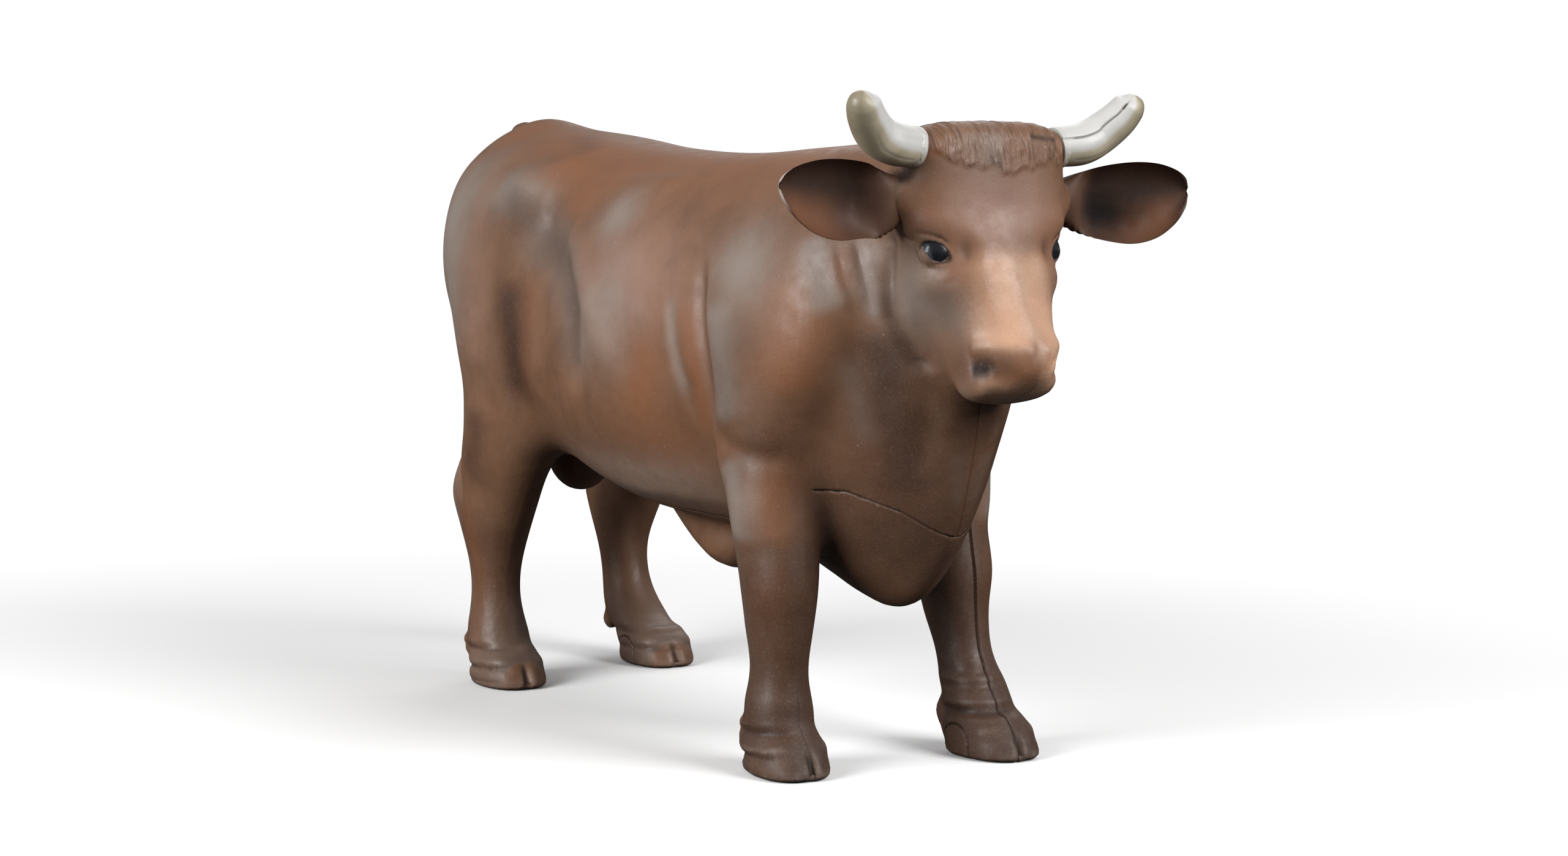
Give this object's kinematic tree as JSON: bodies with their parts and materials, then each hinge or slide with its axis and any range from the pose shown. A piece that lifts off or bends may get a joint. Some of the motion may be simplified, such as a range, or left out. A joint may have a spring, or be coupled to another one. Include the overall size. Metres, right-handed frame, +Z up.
{
  "type": "toy bull figure",
  "caption": "Standing toy farm bull moulded in hollow plastic halves, with white horns, cupped ears and cloven hooves; stands on its hooves for pretend play.",
  "frame": {"origin": "on the ground under the middle of the bounding box", "axes": "+X the way the bull looks, +Y its left side, +Z up"},
  "size_m": [0.1678, 0.073, 0.1034],
  "materials": {
    "hide": "satin moulded plastic, airbrushed mid-brown with grey-taupe patches",
    "dark_hide": "satin moulded plastic, airbrushed dark brown",
    "horn": "satin white paint, ivory underneath",
    "ear": "satin moulded plastic, dark brown in the cup",
    "eye": "gloss black-blue",
    "hoof": "satin grey-brown plastic"
  },
  "bodies": {
    "root": {"side_shell_right": "hide", "side_shell_left": "hide", "underbody": "dark_hide", "poll_cap": "dark_hide", "horn_right": "horn", "horn_left": "horn", "ear_right": "ear", "ear_left": "ear", "eye_right": "eye", "eye_left": "eye", "hoof_plug_fore_right": "hoof", "hoof_plug_fore_left": "hoof", "hoof_plug_hind_right": "hoof", "hoof_plug_hind_left": "hoof", "tail": "dark_hide"}
  },
  "joints": []
}
